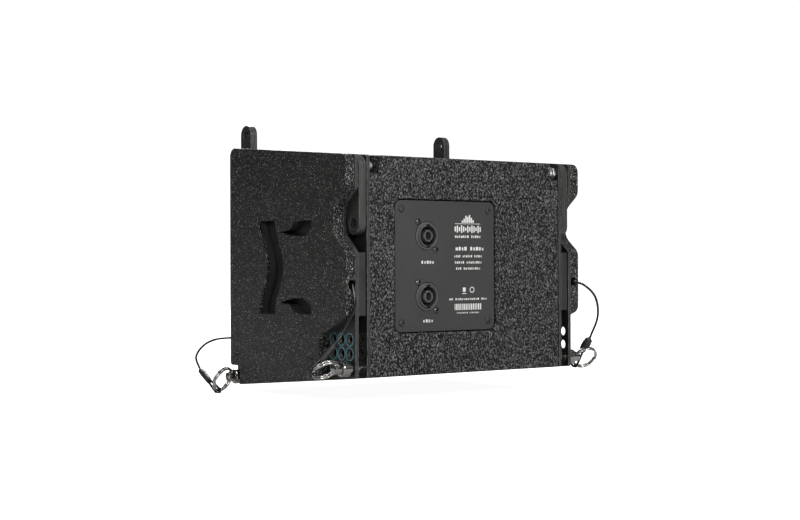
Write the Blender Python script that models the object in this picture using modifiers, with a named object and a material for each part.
"""Compact line array speaker: a wedge-shaped wooden cabinet between two steel rigging stacks.

Axes: X runs across the cabinet, the grille faces -Y, the connectors face +Y, and Z is up. The origin is
the middle of the sloping bottom face. Side outlines are written as (depth, height) points: depth is
measured forwards from the rear panel, and height from the horizontal mid-plane of the wedge.
"right" is +X and "left" is -X, as seen from the front.
"""

import math

import bmesh
import bpy
from mathutils import Matrix, Vector

MM = 0.001
GAP = 0.3 * MM
SIDES = ((1, "right"), (-1, "left"))

# Cabinet
DEPTH = 200 * MM
HALF_WIDTH = 105.5 * MM
REAR_HALF_HEIGHT = 93 * MM
WALL_ANGLE = math.radians(5)
SLOPE = math.tan(WALL_ANGLE)
WALL = 12 * MM
BAFFLE_THICKNESS = 15 * MM
BAFFLE_DEPTH = 184 * MM
REAR_Y = DEPTH / 2
MID_Z = REAR_HALF_HEIGHT + SLOPE * DEPTH / 2

# Notch in each top rear corner, where the link's pivot bolt ends
NOTCH_WIDTH = 9.5 * MM
NOTCH_HEIGHT = 15 * MM
NOTCH_DEPTH = 18 * MM

# Rigging stack on each side, from the cabinet outwards
PLATE = 3 * MM
PLATE_DEPTH = 193.5 * MM
CHANNEL = 8.7 * MM
LINK = 7 * MM
CHEEK = 9.5 * MM
CHEEK_DEPTH = 190 * MM
INNER_PLATE_X = HALF_WIDTH + 0.4 * MM
CHANNEL_X = INNER_PLATE_X + PLATE
OUTER_PLATE_X = CHANNEL_X + CHANNEL
CHEEK_X = OUTER_PLATE_X + PLATE + GAP
LINK_X = CHANNEL_X + (CHANNEL - LINK) / 2

# Links
LINK_RADIUS = 9 * MM
LINK_HOLE = 4.7 * MM
BOLT = 4 * MM
BOLT_CLEARANCE = 0.3 * MM
NUT_RADIUS = 5.6 * MM
PIVOT = (9 * MM, 84.2 * MM)
REAR_LINK_LENGTH = 48.8 * MM
FRONT_LINK_DEPTH = 184 * MM
FRONT_LINK_TOP = 130.4 * MM
FRONT_LINK_BOTTOM = 58 * MM
FRONT_LINK_TRAVEL = 22 * MM
GUIDE_BOLT_HEIGHT = 75 * MM
SPACER_DEPTH = 30 * MM
SPACER_BOTTOM = -41.4 * MM
SPACER_TOP = 11.6 * MM

# Splay grid and ring pins
SPLAY_FIRST = (8.8 * MM, -61 * MM)
SPLAY_PITCH = 12 * MM
SPLAY_ROWS = 3
PIN_HOLE = 4.25 * MM
PIN_SHAFT = 3.95 * MM
PIN_COLLAR = 6.75 * MM
PIN_HEAD = 4.5 * MM
PIN_TIP_X = 101.5 * MM
PIN_COLLAR_X = 130.5 * MM
PIN_RING_X = 133.5 * MM
PIN_END_X = 137.5 * MM
PIN_CROSS_HOLE = 2.8 * MM
RING_RADIUS = 11.2 * MM
RING_WIRE = 0.9 * MM
RING_PITCH = 2.1 * MM
CABLE_RADIUS = 0.8 * MM
SLEEVE_RADIUS = 3.1 * MM
REAR_PIN = (SPLAY_FIRST[0], SPLAY_FIRST[1] - 2 * SPLAY_PITCH)
FRONT_PIN = (FRONT_LINK_DEPTH, -101.5 * MM)

# Connector plate
CONNECTOR_PLATE_X = 24.6 * MM
CONNECTOR_PLATE_HALF = (54.2 * MM, 56 * MM)
CONNECTOR_PLATE_FACE = 1.5 * MM
CONNECTOR_PLATE_THICKNESS = 2 * MM
PLATE_SCREW_OFFSET = (47.4 * MM, 48.4 * MM)
CONNECTOR_X = 45 * MM
CONNECTOR_HEIGHTS = {"input": 25.8 * MM, "link": -26.2 * MM}
CONNECTOR_SCREW_OFFSET = (9.5 * MM, 12 * MM)
SHELL_RADIUS = 11.9 * MM
SCREW_HOLE = 1.9 * MM

# Coaxial driver, with offsets measured forwards from the baffle's front face
DRIVER_RADIUS = 82.5 * MM
DRIVER_FLANGE = 4 * MM
DRIVER_OPENING = 74 * MM

BLACK_PAINT = ("textured_black_paint", (0.02, 0.02, 0.02), 0.6, 0.0)
STEEL = ("black_coated_steel", (0.045, 0.045, 0.045), 0.4, 0.6)
CHROME = ("bright_steel", (0.7, 0.7, 0.7), 0.2, 1.0)
CHARCOAL = ("charcoal_plate", (0.07, 0.07, 0.068), 0.5, 0.1)
PLASTIC = ("black_plastic", (0.015, 0.015, 0.015), 0.4, 0.0)
FOAM = ("black_foam", (0.01, 0.01, 0.01), 0.95, 0.0)
CAST = ("cast_metal", (0.1, 0.1, 0.1), 0.5, 0.8)
PAPER = ("pulp_cone", (0.03, 0.03, 0.03), 0.8, 0.0)
COPPER = ("copper_winding", (0.6, 0.25, 0.1), 0.35, 1.0)
BOARD = ("circuit_board", (0.02, 0.12, 0.05), 0.5, 0.0)


def clear_scene():
    for obj in list(bpy.data.objects):
        bpy.data.objects.remove(obj)


def new_collection(name):
    collection = bpy.data.collections.new(name)
    bpy.context.scene.collection.children.link(collection)
    return collection


clear_scene()
PARTS = new_collection("line_array_speaker")
CUTTERS = new_collection("cutters")


def material(finish):
    name, color, roughness, metallic = finish
    made = bpy.data.materials.get(name)
    if made is None:
        made = bpy.data.materials.new(name)
        made.use_nodes = True
        shader = made.node_tree.nodes["Principled BSDF"]
        shader.inputs["Base Color"].default_value = (*color, 1)
        shader.inputs["Roughness"].default_value = roughness
        shader.inputs["Metallic"].default_value = metallic
    return made


def add(name, mesh, finish=None):
    """Puts a mesh in the scene: as a part when it has a finish, and as a hidden cutter otherwise."""
    obj = bpy.data.objects.new(name, mesh)
    if finish is None:
        CUTTERS.objects.link(obj)
        obj.hide_render = True
        obj.display_type = "WIRE"
    else:
        PARTS.objects.link(obj)
        mesh.materials.append(material(finish))
    return obj


def place_origin(obj, point):
    """Moves the object's origin to a point on its joint's axis, leaving the shape where it is."""
    obj.data.transform(Matrix.Translation(-Vector(point)) @ obj.matrix_world)
    obj.matrix_world = Matrix.Translation(point)


def modify(obj, operation, other):
    change = obj.modifiers.new(other.name, "BOOLEAN")
    change.operation = operation
    change.object = other
    change.solver = "EXACT"


def cut(obj, *cutters):
    for cutter in cutters:
        modify(obj, "DIFFERENCE", cutter)


# Shapes


def height_at(depth):
    """Half the cabinet's height at a depth."""
    return REAR_HALF_HEIGHT + SLOPE * depth


def at(x, depth, height):
    """A point of the part's frame from across, depth and height."""
    return Vector((x, REAR_Y - depth, MID_Z + height))


def rounded(corners):
    """An outline from (depth, height, radius) corners, with an arc in place of each rounded one."""
    outline = []
    count = len(corners)
    for index, (a, b, radius) in enumerate(corners):
        here = Vector((a, b))
        before = (Vector(corners[index - 1][:2]) - here).normalized()
        after = (Vector(corners[(index + 1) % count][:2]) - here).normalized()
        opening = before.angle(after)
        if radius == 0 or opening > math.radians(179):
            outline.append((a, b))
            continue
        middle = here + (before + after).normalized() * radius / math.sin(opening / 2)
        turn = math.pi - opening
        steps = max(2, math.ceil(turn / math.radians(24)))
        first = here + before * radius / math.tan(opening / 2) - middle
        side = 1 if before.x * after.y - before.y * after.x < 0 else -1
        for step in range(steps + 1):
            angle = side * turn * step / steps
            spun = Matrix.Rotation(angle, 2) @ first
            outline.append(tuple(middle + spun))
    return outline


def flat_piece(name, outline, frame, thickness, finish):
    """A mesh from a filled 2-D curve, extruded to its thickness about the frame's plane."""
    curve = bpy.data.curves.new(name, "CURVE")
    curve.dimensions = "2D"
    curve.fill_mode = "BOTH"
    curve.extrude = thickness / 2
    spline = curve.splines.new("POLY")
    spline.points.add(len(outline) - 1)
    spline.use_cyclic_u = True
    for point, (a, b) in zip(spline.points, outline):
        point.co = (a, b, 0, 1)
    obj = meshed(name, curve, frame, finish)
    face_out(obj)
    return obj


def meshed(name, curve, frame, finish):
    """Turns a curve into a welded mesh object in its place, so that it can be cut."""
    drawn = bpy.data.objects.new(name + "_curve", curve)
    PARTS.objects.link(drawn)
    drawn.matrix_world = frame
    bpy.context.view_layer.update()
    evaluated = drawn.evaluated_get(bpy.context.evaluated_depsgraph_get())
    mesh = bpy.data.meshes.new_from_object(evaluated)
    world = drawn.matrix_world.copy()
    bpy.data.objects.remove(drawn)
    weld = bmesh.new()
    weld.from_mesh(mesh)
    bmesh.ops.remove_doubles(weld, verts=weld.verts, dist=1e-6)
    bmesh.ops.recalc_face_normals(weld, faces=weld.faces)
    weld.to_mesh(mesh)
    weld.free()
    mesh.materials.clear()
    obj = add(name, mesh, finish)
    obj.matrix_world = world
    return obj


def side_piece(name, outline, x_from, x_to, finish=None):
    """A flat piece lying in the side plane, from a (depth, height) outline."""
    frame = Matrix(((0, 0, 1, (x_from + x_to) / 2), (-1, 0, 0, REAR_Y), (0, 1, 0, MID_Z), (0, 0, 0, 1)))
    return flat_piece(name, outline, frame, abs(x_to - x_from), finish)


def face_out(obj):
    """Applies the object's placement, and turns its faces outwards again if the placement mirrored them."""
    mirrored = obj.matrix_world.determinant() < 0
    obj.data.transform(obj.matrix_world)
    obj.matrix_world = Matrix.Identity(4)
    if mirrored:
        obj.data.flip_normals()


def rear_piece(name, outline, depth_from, depth_to, finish=None):
    """A flat piece facing the rear, from an (across, height) outline."""
    y = REAR_Y - (depth_from + depth_to) / 2
    frame = Matrix(((1, 0, 0, 0), (0, 0, -1, y), (0, 1, 0, MID_Z), (0, 0, 0, 1)))
    return flat_piece(name, outline, frame, abs(depth_to - depth_from), finish)


def rectangle(x_half, z_half, radius, x=0.0, z=0.0):
    signs = ((-1, -1), (1, -1), (1, 1), (-1, 1))
    return rounded([(x + a * x_half, z + b * z_half, radius) for a, b in signs])


def box(name, low, high, finish=None):
    """A block between two corners, each given as (across, depth, height)."""
    low, high = at(*low), at(*high)
    shape = bmesh.new()
    bmesh.ops.create_cube(shape, size=1)
    size = Matrix.Diagonal([abs(high[i] - low[i]) for i in range(3)] + [1])
    bmesh.ops.transform(shape, matrix=Matrix.Translation((low + high) / 2) @ size, verts=shape.verts)
    return finished(name, shape, finish)


def finished(name, shape, finish):
    mesh = bpy.data.meshes.new(name)
    shape.to_mesh(mesh)
    shape.free()
    return add(name, mesh, finish)


def rods(name, ends, radius, segments=16, finish=None):
    """One or more cylinders in a single mesh, each between two points."""
    shape = bmesh.new()
    for start, end in ends:
        start, end = Vector(start), Vector(end)
        along = end - start
        turn = Matrix.Translation((start + end) / 2) @ along.to_track_quat("Z", "Y").to_matrix().to_4x4()
        bmesh.ops.create_cone(shape, cap_ends=True, segments=segments, radius1=radius, radius2=radius,
                              depth=along.length, matrix=turn)
    return finished(name, shape, finish)


def turned(name, profile, direction, origin, finish=None, steps=24):
    """A turned piece: (radius, offset) points, running from the front of the axis down the outer side."""
    mesh = bpy.data.meshes.new(name)
    closed = profile[0][0] > 0
    count = len(profile)
    edges = [(i, (i + 1) % count) for i in range(count if closed else count - 1)]
    mesh.from_pydata([(radius, 0, offset) for radius, offset in profile], edges, [])
    obj = add(name, mesh, finish)
    turn = Vector(direction).to_track_quat("Z", "Y").to_matrix().to_4x4()
    obj.matrix_world = Matrix.Translation(origin) @ turn
    screw = obj.modifiers.new("turn", "SCREW")
    screw.steps = screw.render_steps = steps
    screw.use_merge_vertices = True
    screw.merge_threshold = 0.00001
    screw.use_smooth_shade = False
    return obj


# Cabinet


def corner_notches():
    """The two pockets cut into the top rear corners."""
    notches = []
    for side, word in SIDES:
        low = (side * (HALF_WIDTH - NOTCH_WIDTH), -MM, REAR_HALF_HEIGHT - NOTCH_HEIGHT)
        high = (side * (HALF_WIDTH + MM), NOTCH_DEPTH, REAR_HALF_HEIGHT + 5 * MM)
        notches.append(box("corner_notch_" + word, low, high))
    return notches


def make_cabinet():
    notches = corner_notches()
    reliefs = {side: pin_relief(side, word) for side, word in SIDES}
    start = WALL + GAP
    drop = WALL / math.cos(WALL_ANGLE)
    for sign, word in ((1, "top"), (-1, "bottom")):
        outline = [
            (start, sign * height_at(start)),
            (DEPTH, sign * height_at(DEPTH)),
            (DEPTH, sign * (height_at(DEPTH) - drop)),
            (start, sign * (height_at(start) - drop)),
        ]
        panel = side_piece(word + "_panel", outline, -HALF_WIDTH, HALF_WIDTH, BLACK_PAINT)
        cut(panel, *(notches if sign > 0 else reliefs.values()))
    for side, word in SIDES:
        gap = drop + GAP
        outline = [
            (start, height_at(start) - gap),
            (DEPTH, height_at(DEPTH) - gap),
            (DEPTH, gap - height_at(DEPTH)),
            (start, gap - height_at(start)),
        ]
        inner_face = side * (HALF_WIDTH - WALL)
        wall = side_piece("side_panel_" + word, outline, side * HALF_WIDTH, inner_face, BLACK_PAINT)
        cut(wall, *notches, reliefs[side])
    make_rear_panel([*notches, *reliefs.values()])
    make_baffle()


def pin_relief(side, word):
    """Shallow pockets behind the splay grid and the front pin's hole, so that the pins' tips have room."""
    deep = side * (PIN_TIP_X - MM)
    out = side * (HALF_WIDTH + MM)
    margin = 6 * MM
    reach = (SPLAY_ROWS - 1) * SPLAY_PITCH
    pocket = box("pin_relief_" + word,
                 (deep, SPLAY_FIRST[0] - margin, SPLAY_FIRST[1] - reach - margin),
                 (out, SPLAY_FIRST[0] + reach + margin, SPLAY_FIRST[1] + margin))
    hole = rods("front_pin_relief_" + word, [(at(deep, *FRONT_PIN), at(out, *FRONT_PIN))], 5 * MM)
    modify(pocket, "UNION", hole)
    return pocket


def make_rear_panel(pockets):
    panel = rear_piece("rear_panel", rectangle(HALF_WIDTH, REAR_HALF_HEIGHT, 0), 0, WALL, BLACK_PAINT)
    recess_depth = CONNECTOR_PLATE_FACE + CONNECTOR_PLATE_THICKNESS + 1.6 * MM
    half_x, half_z = CONNECTOR_PLATE_HALF
    recess = rear_piece("plate_recess", rectangle(half_x + MM, half_z + MM, 7 * MM, CONNECTOR_PLATE_X),
                        -MM, recess_depth)
    opening = rear_piece("plate_opening", rectangle(42 * MM, 45 * MM, 0, CONNECTOR_PLATE_X), MM, WALL + MM)
    pilots = rear_holes("plate_screw_pilots", plate_screw_places(), SCREW_HOLE, 10)
    cut(panel, *pockets, recess, opening, pilots)


def make_baffle():
    """The front baffle, with a rebated round opening for the driver."""
    back = BAFFLE_DEPTH - BAFFLE_THICKNESS
    out = at(0, BAFFLE_DEPTH + MM, 0)
    half = height_at(back) - WALL / math.cos(WALL_ANGLE) - GAP
    outline = rectangle(HALF_WIDTH - WALL - GAP, half, 0)
    baffle = rear_piece("front_baffle", outline, back, BAFFLE_DEPTH, BLACK_PAINT)
    opening = rods("driver_opening", [(at(0, back - MM, 0), out)], DRIVER_OPENING, 40)
    ledge = at(0, BAFFLE_DEPTH - DRIVER_FLANGE - GAP, 0)
    rebate = rods("driver_rebate", [(ledge, out)], DRIVER_RADIUS + GAP, 40)
    cut(baffle, opening, rebate)


def make_grille():
    """A shallow tray of sheet steel with its rim turned back, and the foam pad inside it."""
    front = DEPTH - 0.2 * MM
    sheet = 1.5 * MM
    rim = 9 * MM
    foam = 5 * MM
    inside = HALF_WIDTH - WALL - 0.5 * MM
    half = height_at(front - rim) - WALL / math.cos(WALL_ANGLE) - 0.5 * MM
    tray = rear_piece("front_grille", rectangle(inside, half, 3 * MM), front - rim, front, STEEL)
    hollow = rear_piece("grille_hollow", rectangle(inside - sheet, half - sheet, 2 * MM),
                        front - rim - MM, front - sheet)
    cut(tray, hollow)
    pad = rectangle(inside - sheet - GAP, half - sheet - GAP, 2 * MM)
    rear_piece("grille_foam", pad, front - sheet - GAP - foam, front - sheet - GAP, FOAM)


# Connector plate


def rear_holes(name, places, radius, segments):
    """Round cutters through the rear panel's thickness at (across, height) places."""
    return rods(name, [(at(x, -MM, z), at(x, WALL + MM, z)) for x, z in places], radius, segments)


def plate_screw_places():
    across, up = PLATE_SCREW_OFFSET
    return [(CONNECTOR_PLATE_X + a * across, b * up) for a in (1, -1) for b in (1, -1)]


def connector_screw_places(height):
    across, up = CONNECTOR_SCREW_OFFSET
    return {"upper": (CONNECTOR_X + across, height + up), "lower": (CONNECTOR_X - across, height - up)}


def make_connector_plate():
    face = CONNECTOR_PLATE_FACE
    back = face + CONNECTOR_PLATE_THICKNESS
    half_x, half_z = CONNECTOR_PLATE_HALF
    outline = rectangle(half_x, half_z, 6 * MM, CONNECTOR_PLATE_X)
    plate = rear_piece("connector_plate", outline, face, back, CHARCOAL)
    sockets = rear_holes("socket_holes", [(CONNECTOR_X, z) for z in CONNECTOR_HEIGHTS.values()],
                         SHELL_RADIUS + 0.5 * MM, 24)
    small = [place for z in CONNECTOR_HEIGHTS.values() for place in connector_screw_places(z).values()]
    holes = rear_holes("plate_screw_holes", plate_screw_places() + small, SCREW_HOLE, 10)
    cut(plate, sockets, holes)
    gasket = rear_piece("plate_gasket", outline, back + GAP, back + GAP + MM, FOAM)
    window = rectangle(half_x - 12 * MM, half_z - 11 * MM, 0, CONNECTOR_PLATE_X)
    cut(gasket, rear_piece("gasket_window", window, 0, WALL), holes)
    make_plate_screws(face)
    for word, height in CONNECTOR_HEIGHTS.items():
        make_connector(word, height, back)


def screw_profile(head, rise, shank, length):
    return [(0, rise), (head, rise), (head, 0.2 * MM), (shank, 0.2 * MM), (shank, -length), (0, -length)]


def make_plate_screws(face):
    places = dict(zip(("top_right", "bottom_right", "top_left", "bottom_left"), plate_screw_places()))
    for word, (x, z) in places.items():
        turned("plate_screw_" + word, screw_profile(3.2 * MM, 1.2 * MM, 1.6 * MM, 9 * MM),
               (0, 1, 0), at(x, face, z), STEEL, 10)


def make_connector(word, height, back):
    """A four-pole speaker connector: flange behind the plate, round shell through it, keyed centre post."""
    front = CONNECTOR_PLATE_FACE - MM
    shell = turned(word + "_connector", [
        (0, -22 * MM), (3 * MM, -22 * MM), (3 * MM, -3 * MM), (5.6 * MM, -3 * MM), (5.6 * MM, -20 * MM),
        (9.6 * MM, -20 * MM), (9.6 * MM, 0), (SHELL_RADIUS, 0), (SHELL_RADIUS, -26 * MM), (0, -26 * MM),
    ], (0, 1, 0), at(CONNECTOR_X, front, height), PLASTIC, 20)
    flange = rear_piece(word + "_flange", rectangle(13 * MM, 15.5 * MM, 2 * MM, CONNECTOR_X, height),
                        back + GAP, back + 2.2 * MM)
    cut(flange, rear_holes(word + "_flange_bore", [(CONNECTOR_X, height)], SHELL_RADIUS - 0.9 * MM, 20))
    modify(shell, "UNION", flange)
    places = connector_screw_places(height)
    cut(shell, rear_holes(word + "_screw_holes", places.values(), SCREW_HOLE, 10))
    for spot, (x, z) in places.items():
        turned(word + "_connector_screw_" + spot, screw_profile(2.8 * MM, 1.6 * MM, 1.5 * MM, 8 * MM),
               (0, 1, 0), at(x, CONNECTOR_PLATE_FACE, z), CHROME, 10)


# Rigging


def splay_grid():
    depth, height = SPLAY_FIRST
    return [(depth + column * SPLAY_PITCH, height - row * SPLAY_PITCH)
            for column in range(SPLAY_ROWS) for row in range(SPLAY_ROWS)]


def arc_cutout(edge):
    """Corners of the finger cut-out in the rear edge, which bares the hanging link's end."""
    return [(edge, 65 * MM, 5 * MM), (18 * MM, 50 * MM, 18 * MM), (18 * MM, 27.5 * MM, 18 * MM),
            (edge, 12.5 * MM, 5 * MM)]


def plate_outline(with_cutout):
    corners = [(0, -height_at(0), 3 * MM), (PLATE_DEPTH, -height_at(PLATE_DEPTH), 5 * MM),
               (PLATE_DEPTH, height_at(PLATE_DEPTH), 8 * MM), (0, height_at(0), 3 * MM)]
    return rounded(corners + (arc_cutout(0) if with_cutout else []))


def make_plates(side, word):
    holes = splay_grid() + [FRONT_PIN]
    bolts = [PIVOT, (FRONT_LINK_DEPTH, GUIDE_BOLT_HEIGHT)]
    low, high = side * (HALF_WIDTH - MM), side * (CHEEK_X + MM)
    pins = rods("pin_holes_" + word, [(at(low, *hole), at(high, *hole)) for hole in holes], PIN_HOLE, 12)
    bores = rods("bolt_holes_" + word, [(at(low, *hole), at(high, *hole)) for hole in bolts],
                 BOLT + BOLT_CLEARANCE, 12)
    inner = side_piece("inner_rigging_plate_" + word, plate_outline(False),
                       side * INNER_PLATE_X, side * (INNER_PLATE_X + PLATE), STEEL)
    outer = side_piece("outer_rigging_plate_" + word, plate_outline(True),
                       side * OUTER_PLATE_X, side * (OUTER_PLATE_X + PLATE), STEEL)
    cut(inner, pins, bores)
    cut(outer, pins, bores)
    spacer = rounded([(0.8 * MM, SPACER_BOTTOM, MM), (SPACER_DEPTH, SPACER_BOTTOM, MM),
                      (SPACER_DEPTH, SPACER_TOP, MM), (0.8 * MM, SPACER_TOP, MM)])
    side_piece("spacer_block_" + word, spacer, side * (CHANNEL_X + GAP), side * (OUTER_PLATE_X - GAP), STEEL)


def make_bolts(side, word):
    """The rear link's pivot bolt, with its nut in the corner notch, and the front link's guide bolt."""
    end = OUTER_PLATE_X + PLATE
    nut = INNER_PLATE_X - GAP
    profile = [(0, end), (BOLT, end), (BOLT, nut), (NUT_RADIUS, nut), (NUT_RADIUS, nut - 5 * MM),
               (BOLT, nut - 5 * MM), (BOLT - MM, nut - 7 * MM), (0, nut - 7 * MM)]
    turned("pivot_bolt_" + word, profile, (side, 0, 0), at(0, *PIVOT), CHROME, 12)
    profile = [(0, end), (BOLT, end), (BOLT, INNER_PLATE_X), (0, INNER_PLATE_X)]
    guide = at(0, FRONT_LINK_DEPTH, GUIDE_BOLT_HEIGHT)
    turned("guide_bolt_" + word, profile, (side, 0, 0), guide, STEEL, 14)


def bar(depth, bottom, top, reach, lower_radius):
    """An upright bar's outline, with a fully rounded top; just short of full, so no edge is lost."""
    short = 0.999
    return rounded([(depth - reach, top, reach * short), (depth - reach, bottom, lower_radius * short),
                    (depth + reach, bottom, lower_radius * short), (depth + reach, top, reach * short)])


def make_rear_link(side, word):
    depth, top = PIVOT
    bottom = top - REAR_LINK_LENGTH
    outline = bar(depth, bottom - LINK_RADIUS, top + LINK_RADIUS, LINK_RADIUS, LINK_RADIUS)
    link = side_piece("rear_link_" + word, outline, side * LINK_X, side * (LINK_X + LINK), STEEL)
    low, high = side * (CHANNEL_X - MM), side * (OUTER_PLATE_X + MM)
    pivot = rods("rear_link_bore_" + word, [(at(low, *PIVOT), at(high, *PIVOT))], BOLT + BOLT_CLEARANCE)
    hole = rods("rear_link_hole_" + word, [(at(low, depth, bottom), at(high, depth, bottom))], LINK_HOLE)
    place_origin(link, at(0, *PIVOT))
    cut(link, pivot, hole)


def make_front_link(side, word):
    """The sliding front link: a pin hole in its rounded top, and a slot that rides on the guide bolt."""
    outline = bar(FRONT_LINK_DEPTH, FRONT_LINK_BOTTOM, FRONT_LINK_TOP, LINK_RADIUS, 3 * MM)
    link = side_piece("front_link_" + word, outline, side * LINK_X, side * (LINK_X + LINK), STEEL)
    low, high = side * (CHANNEL_X - MM), side * (OUTER_PLATE_X + MM)
    eye = (FRONT_LINK_DEPTH, FRONT_LINK_TOP - LINK_RADIUS)
    hole = rods("front_link_hole_" + word, [(at(low, *eye), at(high, *eye))], LINK_HOLE)
    half = BOLT + 0.4 * MM
    first, last = GUIDE_BOLT_HEIGHT - half, GUIDE_BOLT_HEIGHT + FRONT_LINK_TRAVEL + half
    slot = side_piece("front_link_slot_" + word, bar(FRONT_LINK_DEPTH, first, last, half, half), low, high)
    place_origin(link, at(0, *eye))
    cut(link, hole, slot)


# Cheeks


def cheek_outline():
    """The cover panel's side view: finger cut-out, open lower rear corner, and a notch for the front pin."""
    step = 40.5 * MM
    notch = 173.5 * MM
    shelf = -91 * MM
    corners = [(step, -height_at(step), 2 * MM), (notch, -height_at(notch), 2 * MM), (notch, shelf, MM),
               (CHEEK_DEPTH, shelf, 3 * MM), (CHEEK_DEPTH, height_at(CHEEK_DEPTH), 8 * MM),
               (0, height_at(0), 5 * MM)]
    corners += arc_cutout(0)
    corners += [(0, -42 * MM, 5 * MM), (27 * MM, -53.4 * MM, 6 * MM), (36.5 * MM, -57 * MM, 3 * MM),
                (step, -64 * MM, 5 * MM)]
    return rounded(corners)


def finger_slot():
    """The hand-hold's curved slot: both long edges sweep towards the rear at the middle."""
    reach = 41.5 * MM
    sweep = 14.5 * MM
    steps = 10
    rear, front = [], []
    for index in range(steps + 1):
        height = reach * (2 * index / steps - 1)
        bow = sweep * math.cos(math.pi * height / (2 * reach)) ** 2
        front.append((138 * MM - bow, height))
        rear.append((111.5 * MM - bow, height))
    return front + rear[::-1]


def thumb_scallop(sign):
    """One of the two crescent pockets behind the slot, above or below the middle."""
    shape = [(103, 31, 0), (88, 32.5, 8), (77, 40, 6), (52, 40.5, 2),
             (52, 33, 3), (64, 26.5, 8), (84, 27, 8)]
    middle = -0.8 * MM
    corners = [(a * MM, sign * b * MM + middle, r * MM) for a, b, r in shape]
    return rounded(corners)


def make_cheek(side, word):
    face = CHEEK_X + CHEEK
    cheek = side_piece("side_cheek_" + word, cheek_outline(), side * CHEEK_X, side * face, BLACK_PAINT)
    floor = side * (face - 6.5 * MM)
    above = side * (face + MM)
    cut(cheek,
        side_piece("finger_slot_" + word, finger_slot(), floor, above),
        side_piece("upper_scallop_" + word, thumb_scallop(1), floor, above),
        side_piece("lower_scallop_" + word, thumb_scallop(-1), floor, above),
        box("lanyard_slot_" + word, (side * (CHEEK_X - MM), -MM, -18.5 * MM),
            (side * (CHEEK_X + 6 * MM), 9 * MM, -11.5 * MM)))


# Ring pins


def ring_frame(side, roll, swing):
    """Directions of a ring hanging in its pin's cross hole: along the hole, and out to the ring's middle."""
    hole = Vector((0, math.sin(roll), math.cos(roll)))
    outward = Vector((side, 0, 0))
    out = math.cos(swing) * outward + math.sin(swing) * hole.cross(outward)
    return hole, out


def make_pin(word, side, place, roll):
    chamfer = 1.5 * MM
    profile = [(0, PIN_END_X), (PIN_HEAD - MM, PIN_END_X), (PIN_HEAD, PIN_END_X - MM),
               (PIN_HEAD, PIN_COLLAR_X), (PIN_COLLAR, PIN_COLLAR_X), (PIN_COLLAR, CHEEK_X),
               (PIN_SHAFT, CHEEK_X), (PIN_SHAFT, PIN_TIP_X + chamfer), (PIN_SHAFT - chamfer, PIN_TIP_X),
               (0, PIN_TIP_X)]
    pin = turned(word, profile, (side, 0, 0), at(0, *place), CHROME, 12)
    hole, _ = ring_frame(side, roll, 0)
    middle = at(side * PIN_RING_X, *place)
    reach = hole * 8 * MM
    cut(pin, rods(word + "_cross_hole", [(middle - reach, middle + reach)], PIN_CROSS_HOLE, 10))


def make_ring(word, side, place, roll, swing):
    """A split ring: two touching turns of wire through the pin's cross hole, with its origin at the hole."""
    hole, out = ring_frame(side, roll, swing)
    axis = hole.cross(out)
    steps = 30
    centre = at(side * PIN_RING_X, *place)
    coil = []
    for index in range(steps + 1):
        turn = 4 * math.pi * index / steps
        around = RING_RADIUS * ((1 + math.cos(turn)) * out + math.sin(turn) * hole)
        coil.append(centre + around + axis * RING_PITCH * (2 * index / steps - 1))
    ring = tube(word, coil, RING_WIRE, CHROME)
    place_origin(ring, centre)


def tube(name, points, radius, finish, radii=None):
    """A round wire along the points, with its ends closed."""
    curve = bpy.data.curves.new(name, "CURVE")
    curve.dimensions = "3D"
    curve.bevel_depth = radius
    curve.bevel_resolution = 1
    curve.use_fill_caps = True
    spline = curve.splines.new("POLY")
    spline.points.add(len(points) - 1)
    for index, (point, place) in enumerate(zip(spline.points, points)):
        point.co = (*place, 1)
        point.radius = radii[index] if radii else 1
    return meshed(name, curve, Matrix.Identity(4), finish)


def smooth_path(points, steps):
    """Points along a Catmull-Rom curve through the given ones."""
    ends = [2 * points[0] - points[1], *points, 2 * points[-1] - points[-2]]
    path = []
    for a, b, c, d in zip(ends, ends[1:], ends[2:], ends[3:]):
        for step in range(steps):
            t = step / steps
            path.append(0.5 * (2 * b + (c - a) * t + (2 * a - 5 * b + 4 * c - d) * t**2
                               + (3 * b - a - 3 * c + d) * t**3))
    return path + [points[-1]]


def make_lanyard(word, side, bends, sleeve_end):
    """A coated cable from the cheek to the ring, ending in its thicker crimp sleeve."""
    path = smooth_path([at(side * x * MM, depth * MM, height * MM) for x, depth, height in bends], 3)
    start = path[-1]
    end = at(side * sleeve_end[0] * MM, sleeve_end[1] * MM, sleeve_end[2] * MM)
    along = (end - start).normalized()
    sleeve = [start + along * 0.4 * MM, start + along * 1.4 * MM, end - along * MM, end]
    swell = [SLEEVE_RADIUS / CABLE_RADIUS * part for part in (0.87, 1, 1, 0.82)]
    tube(word, path + sleeve, CABLE_RADIUS, PLASTIC, [1] * len(path) + swell)


# Each pin's place, roll about its own axis and ring swing at rest, in degrees
PIN_REST = {
    "front_right": (1, FRONT_PIN, 27, 20),
    "front_left": (-1, FRONT_PIN, 27, 20),
    "rear_right": (1, REAR_PIN, 52, 0),
    "rear_left": (-1, REAR_PIN, 40, -10),
}
# Each lanyard's bends and its sleeve's end, in millimetres across, in depth and in height
FRONT_LANYARD = (((125, 190.6, -66), (129, 218, -68.6), (133, 236, -75), (138, 242, -86), (143, 225, -97)),
                 (147, 200, -106))
LANYARDS = {
    "front_right": FRONT_LANYARD,
    "front_left": FRONT_LANYARD,
    "rear_right": (((123.5, -0.6, -15), (124, -3, -34), (131, 1.5, -53), (137, 4, -62)),
                   (146.5, 6.5, -72.5)),
    "rear_left": (((124, -0.6, -15), (131, -7.8, -18.8), (142, -10.3, -29.9), (146, -9, -47.8),
                   (143.5, -1, -68)), (140, 0.5, -73.5)),
}


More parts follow.
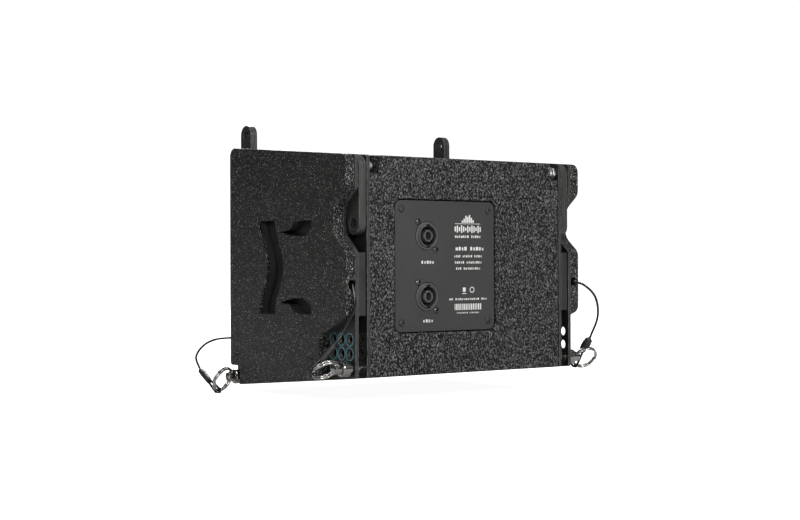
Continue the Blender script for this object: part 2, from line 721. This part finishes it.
def make_pins():
    for place, (side, hole, roll, swing) in PIN_REST.items():
        make_pin(place.replace("_", "_pin_"), side, hole, math.radians(roll))
        make_ring(place.replace("_", "_ring_"), side, hole, math.radians(roll), math.radians(swing))
        make_lanyard(place.replace("_", "_lanyard_"), side, *LANYARDS[place])


# Driver and crossover


def driver_piece(name, profile, finish, steps=24):
    """A turned piece on the driver's axis, from (radius, offset) points in millimetres."""
    points = [(radius * MM, offset * MM) for radius, offset in profile]
    return turned(name, points, (0, -1, 0), at(0, BAFFLE_DEPTH, 0), finish, steps)


def roll(half_width, rise):
    """Half an ellipse over the surround's middle radius, from its outer side inwards, in millimetres."""
    return [(66.2 + half_width * math.cos(math.pi * step / 5), rise * math.sin(math.pi * step / 5))
            for step in range(6)]


def make_driver():
    basket = driver_piece("woofer_basket", [
        (82.5, 0), (82.5, -4), (73, -4), (52, -58), (30, -58), (30, -55), (50, -55), (50, -50),
        (70, 0)], CAST, 30)
    middle = at(0, BAFFLE_DEPTH - 32 * MM, 0)
    turns = [math.radians(60 * index) for index in range(6)]
    spokes = [Vector((math.cos(turn), 0, math.sin(turn))) for turn in turns]
    cut(basket, rods("basket_windows", [(middle + 40 * MM * way, middle + 90 * MM * way) for way in spokes],
                     15 * MM, 8))
    driver_piece("woofer_magnet", [(23.3, -58.4), (23.3, -68), (27.7, -68), (27.7, -58.4), (52, -58.4),
                                   (52, -82), (20, -82), (20, -58.4)], CAST)
    driver_piece("woofer_voice_coil", [(25.6, -37.5), (25.6, -64), (24.4, -64), (24.4, -37.5)], COPPER, 24)
    driver_piece("woofer_cone", [(60, -1), (61.2, -1.6), (27, -37.2), (25.9, -37.2), (25.9, -36)], PAPER)
    outer_roll = [(radius, offset + 1.6) for radius, offset in roll(4.4, 4)]
    inner_roll = [(radius, offset + 1.4) for radius, offset in roll(3.4, 3)]
    driver_piece("woofer_surround", [(76, 1.3), (76, 0.3), (70, 0.3), *inner_roll, (58.5, 0.1), (58.5, 1.1),
                                     *outer_roll[::-1]], PAPER)
    waves = [(26 + 21.5 * step / 6, (-1) ** step * 1.2) for step in range(7)]
    upper = [(radius, offset - 46.4) for radius, offset in waves]
    lower = [(radius, offset - 47.4) for radius, offset in waves]
    driver_piece("woofer_spider", upper + lower[::-1], PAPER, 20)
    driver_piece("hf_horn", [(28, -9), (30, -9), (30, -10.5), (26, -18), (20, -30), (18.5, -40), (18.5, -82),
                             (16.5, -82), (16.5, -40), (18, -30), (24, -18)], PLASTIC, 20)
    driver_piece("compression_driver", [(0, -82.4), (38, -82.4), (40, -84.4), (40, -108), (34, -114),
                                        (0, -114)],
                 CAST, 20)


def make_crossover():
    board_back = WALL + GAP
    thickness = 1.6 * MM
    box("crossover_board", (-36 * MM, board_back, -58 * MM), (-86 * MM, board_back + thickness, 58 * MM),
        BOARD)
    top = at(-61 * MM, board_back + thickness + GAP, 24 * MM)
    turned("crossover_inductor", [(19 * MM, 18 * MM), (19 * MM, 0), (9 * MM, 0), (9 * MM, 18 * MM)],
           (0, -1, 0), top, COPPER, 24)
    middle = board_back + thickness + GAP + 9 * MM
    ends = [(at(-61 * MM, middle, -48 * MM), at(-61 * MM, middle, -12 * MM))]
    rods("crossover_capacitor", ends, 9 * MM, 20, PLASTIC)
    wires = [at(x * MM, depth * MM, height * MM) for x, depth, height in
             ((45, 28, 12), (45, 40, 0), (20, 48, -8), (-20, 44, 2), (-42, 26, 0), (-44, 14.8, 0))]
    tube("wiring_harness", smooth_path(wires, 3), 2 * MM, PLASTIC)


make_cabinet()
make_grille()
make_connector_plate()
for hand, hand_word in SIDES:
    make_plates(hand, hand_word)
    make_bolts(hand, hand_word)
    make_rear_link(hand, hand_word)
    make_front_link(hand, hand_word)
    make_cheek(hand, hand_word)
make_pins()
make_driver()
make_crossover()
